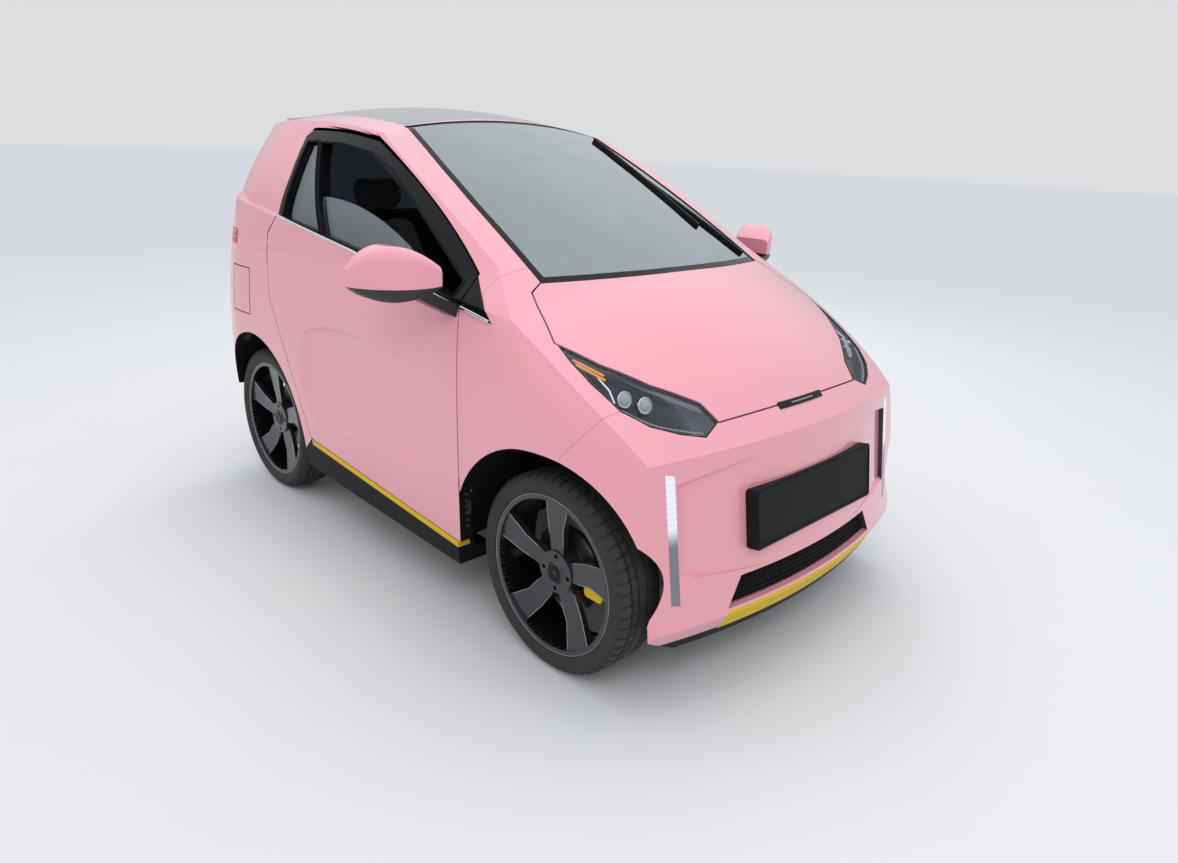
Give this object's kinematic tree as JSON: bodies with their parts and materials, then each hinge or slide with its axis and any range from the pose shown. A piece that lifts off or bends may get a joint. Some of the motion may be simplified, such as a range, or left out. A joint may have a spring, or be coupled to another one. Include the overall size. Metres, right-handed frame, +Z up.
{
  "type": "two-seat electric microcar",
  "caption": "Small closed two-seat electric car with hinged doors, bonnet and hatch, steered front wheels, black roof and pink body.",
  "frame": {"origin": "on the ground, under the middle of the car's length and width", "axes": "front faces -Y, +X is the car's left, +Z is up"},
  "size_m": [1.89, 2.524, 1.5505],
  "materials": {
    "pink_paint": "gloss pink paint",
    "black_gloss": "gloss black",
    "black_plastic": "grained black plastic",
    "yellow_trim": "gloss yellow",
    "clear_glass": "lightly tinted safety glass",
    "dark_glass": "dark tinted glass",
    "lamp_lens": "clear lens",
    "lamp_body": "dark reflector housing",
    "lamp_white": "white light strip",
    "lamp_red": "red lamp",
    "tyre_rubber": "black tyre rubber",
    "dark_alloy": "dark grey gloss wheel",
    "cast_steel": "cast and machined steel",
    "chassis_steel": "black painted steel",
    "caliper_yellow": "yellow painted caliper",
    "seat_fabric": "dark grey woven cover",
    "battery_case": "plain aluminium case"
  },
  "bodies": {
    "car_body": {"accent_stripes": "yellow_trim", "battery_pack": "battery_case", "body_side_left": "pink_paint", "body_side_right": "pink_paint", "charge_socket": "black_plastic", "cowl_panel": "black_plastic", "dashboard": "black_plastic", "daylight_strips": "lamp_white", "drive_motor": "cast_steel", "front_bumper": "pink_paint", "front_suspension": "chassis_steel", "front_wings": "pink_paint", "headlamp_housings": "lamp_body", "headlamp_lenses": "lamp_lens", "lower_grille": "black_plastic", "lower_trims": "black_plastic", "plate_panels": "black_plastic", "rear_axle": "chassis_steel", "rear_bumper": "pink_paint", "rear_view_mirror": "black_plastic", "roof_panel": "black_gloss", "seat_backs": "seat_fabric", "seat_bases": "chassis_steel", "seat_cushions": "seat_fabric", "tail_lamps": "lamp_red", "underbody": "chassis_steel", "wheelhouses": "black_plastic", "window_triangles": "black_gloss", "windscreen": "clear_glass", "wiper": "black_plastic"},
    "bonnet": {"bonnet": "pink_paint"},
    "hatch": {"hatch": "pink_paint", "hatch_glass": "dark_glass"},
    "charge_flap": {"charge_flap": "pink_paint"},
    "steering_wheel": {"steering_wheel": "black_plastic"},
    "door_left": {"door_left": "pink_paint", "window_frame_left": "black_gloss", "door_glass_left": "clear_glass", "door_mirror_left": "pink_paint"},
    "knuckle_left": {"knuckle_left": "cast_steel", "brake_caliper_left": "caliper_yellow"},
    "wheel_front_left": {"tyre_front_left": "tyre_rubber", "rim_front_left": "dark_alloy"},
    "wheel_rear_left": {"tyre_rear_left": "tyre_rubber", "rim_rear_left": "dark_alloy"},
    "door_right": {"door_right": "pink_paint", "window_frame_right": "black_gloss", "door_glass_right": "clear_glass", "door_mirror_right": "pink_paint"},
    "knuckle_right": {"knuckle_right": "cast_steel", "brake_caliper_right": "caliper_yellow"},
    "wheel_front_right": {"tyre_front_right": "tyre_rubber", "rim_front_right": "dark_alloy"},
    "wheel_rear_right": {"tyre_rear_right": "tyre_rubber", "rim_rear_right": "dark_alloy"}
  },
  "joints": [
    {"name": "door_left_hinge", "type": "hinge", "parent": "car_body", "child": "door_left", "pos_m": [0.745, -0.472, 0.62], "axis": [0.1386, 0, -0.9903], "range_deg": [0, 62]},
    {"name": "door_right_hinge", "type": "hinge", "parent": "car_body", "child": "door_right", "pos_m": [-0.745, -0.472, 0.62], "axis": [0.1386, 0, 0.9903], "range_deg": [0, 62]},
    {"name": "bonnet_hinge", "type": "hinge", "parent": "car_body", "child": "bonnet", "pos_m": [0, -0.571, 1.085], "axis": [-1, 0, 0], "range_deg": [0, 55]},
    {"name": "hatch_hinge", "type": "hinge", "parent": "car_body", "child": "hatch", "pos_m": [0, 1.0275, 1.535], "axis": [1, 0, 0], "range_deg": [0, 80]},
    {"name": "charge_flap_hinge", "type": "hinge", "parent": "car_body", "child": "charge_flap", "pos_m": [-0.748, 0.9175, 0.834], "axis": [0, 0, 1], "range_deg": [0, 100]},
    {"name": "steer_left", "type": "hinge", "parent": "car_body", "child": "knuckle_left", "pos_m": [0.54, -0.822, 0.295], "axis": [0, 0, 1], "range_deg": [-33, 33]},
    {"name": "steer_right", "type": "hinge", "parent": "car_body", "child": "knuckle_right", "pos_m": [-0.54, -0.822, 0.295], "axis": [0, 0, 1], "range_deg": [-33, 33]},
    {"name": "steering_wheel_turn", "type": "hinge", "parent": "car_body", "child": "steering_wheel", "pos_m": [0.285, -0.165, 0.85], "axis": [0, 0.8829, 0.4695], "range_deg": [-500, 500]},
    {"name": "wheel_front_left_spin", "type": "hinge", "parent": "knuckle_left", "child": "wheel_front_left", "pos_m": [0.6125, -0.822, 0.295], "axis": [1, 0, 0], "continuous": true},
    {"name": "wheel_front_right_spin", "type": "hinge", "parent": "knuckle_right", "child": "wheel_front_right", "pos_m": [-0.6125, -0.822, 0.295], "axis": [1, 0, 0], "continuous": true},
    {"name": "wheel_rear_left_spin", "type": "hinge", "parent": "car_body", "child": "wheel_rear_left", "pos_m": [0.6125, 0.918, 0.295], "axis": [1, 0, 0], "continuous": true},
    {"name": "wheel_rear_right_spin", "type": "hinge", "parent": "car_body", "child": "wheel_rear_right", "pos_m": [-0.6125, 0.918, 0.295], "axis": [1, 0, 0], "continuous": true}
  ],
  "couplings": [
    {"joint": "steer_right", "follows": "steer_left", "ratio": 1},
    {"joint": "steering_wheel_turn", "follows": "steer_left", "ratio": 15}
  ]
}
